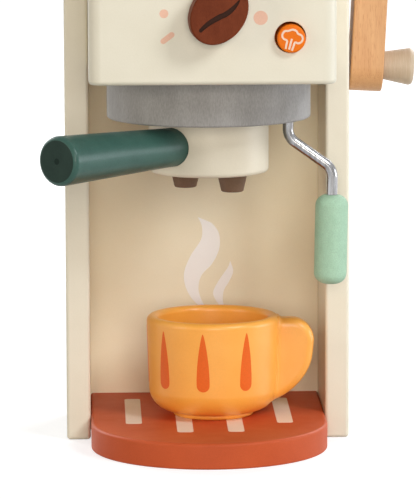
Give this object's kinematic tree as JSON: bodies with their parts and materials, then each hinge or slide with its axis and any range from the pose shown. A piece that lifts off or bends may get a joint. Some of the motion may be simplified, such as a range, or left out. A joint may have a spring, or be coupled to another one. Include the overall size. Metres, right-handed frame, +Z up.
{
  "type": "toy coffee maker",
  "caption": "Wooden toy espresso machine: board case, turning portafilter, swivelling steam wand, push button, bean knob, side crank and loose cup.",
  "frame": {"origin": "on the floor, on the centre plane of the case, in the plane of the side panels' front edges", "axes": "+Z up, -Y towards the front where the portafilter and base plate stand out, +X towards the crank"},
  "size_m": [0.2134, 0.2179, 0.296],
  "materials": {
    "cream_paint": "satin painted board",
    "terracotta_paint": "matte painted board with pale stripes",
    "grey_paint": "matte painted turned wood",
    "portafilter_paint": "satin painted turned wood",
    "green_paint": "satin painted turned wood",
    "spout_paint": "satin painted turned wood",
    "mint_paint": "matte painted turned wood",
    "cup_paint": "satin painted turned wood with printed drops",
    "button_paint": "satin painted turned wood with a printed symbol",
    "bean_paint": "satin painted wood",
    "beech": "clear lacquered beech",
    "knob_wood": "satin painted turned wood",
    "raw_wood": "raw beech dowel",
    "chrome": "polished chrome plate",
    "fastener_steel": "zinc-plated steel",
    "spring_steel": "drawn spring wire"
  },
  "bodies": {
    "case": {"side_panel_left": "cream_paint", "side_panel_right": "cream_paint", "back_panel": "cream_paint", "top_board": "cream_paint", "head_front": "cream_paint", "head_side_left": "cream_paint", "head_side_right": "cream_paint", "head_floor": "cream_paint", "base_plate": "terracotta_paint", "brew_head": "grey_paint", "brew_head_screws": "fastener_steel", "head_magnet": "fastener_steel", "base_dowels": "raw_wood", "back_dowels": "raw_wood", "head_dowels": "raw_wood", "top_dowels": "raw_wood", "button_housing": "raw_wood", "button_spring": "spring_steel"},
    "keeper": {"keeper_plate": "fastener_steel"},
    "portafilter": {"portafilter_body": "portafilter_paint", "portafilter_screw": "fastener_steel", "portafilter_handle": "green_paint", "spout_left": "spout_paint", "spout_right": "spout_paint"},
    "wand": {"wand_rod": "chrome", "wand_grip": "mint_paint", "wand_push_nut": "fastener_steel"},
    "bean": {"bean_knob": "bean_paint", "bean_axle": "raw_wood", "bean_washer": "fastener_steel", "bean_screw": "fastener_steel"},
    "button": {"steam_button": "button_paint"},
    "crank": {"crank_axle": "raw_wood", "crank_spacer": "raw_wood", "crank_arm": "beech", "crank_screw": "fastener_steel", "crank_collar": "raw_wood", "crank_knob_screw": "fastener_steel"},
    "crank_grip": {"crank_knob": "knob_wood"},
    "cup": {"cup_body": "cup_paint", "cup_handle": "cup_paint"}
  },
  "joints": [
    {"name": "portafilter_release", "type": "slide", "parent": "case", "child": "keeper", "axis": [0, -0.9903, -0.1392], "range_m": [0, 0.165]},
    {"name": "portafilter_turn", "type": "hinge", "parent": "keeper", "child": "portafilter", "pos_m": [0, -0.03, 0.175], "axis": [0, 0, 1], "range_deg": [-45, 40]},
    {"name": "steam_wand_swivel", "type": "hinge", "parent": "case", "child": "wand", "pos_m": [0.0442, -0.03, 0.1875], "axis": [0.0209, 0, 0.9998], "range_deg": [-80, 80]},
    {"name": "bean_turn", "type": "hinge", "parent": "case", "child": "bean", "pos_m": [0.002, -0.109, 0.2525], "axis": [0.0872, -0.9962, 0], "continuous": true},
    {"name": "steam_button_press", "type": "slide", "parent": "case", "child": "button", "axis": [0, 1, 0], "range_m": [0, 0.0025], "stiffness_N_per_m": 600, "deforming": ["button_spring"]},
    {"name": "crank_turn", "type": "hinge", "parent": "case", "child": "crank", "pos_m": [0.08, 0.04, 0.2715], "axis": [0.9986, 0, -0.0523], "continuous": true},
    {"name": "crank_knob_spin", "type": "hinge", "parent": "crank", "child": "crank_grip", "pos_m": [0.10202, 0.04, 0.20826], "axis": [0.9986, 0, -0.0523], "continuous": true},
    {"name": "cup_lift", "type": "slide", "parent": "case", "child": "cup", "axis": [0, -0.9848, 0.1736], "range_m": [0, 0.16]}
  ]
}
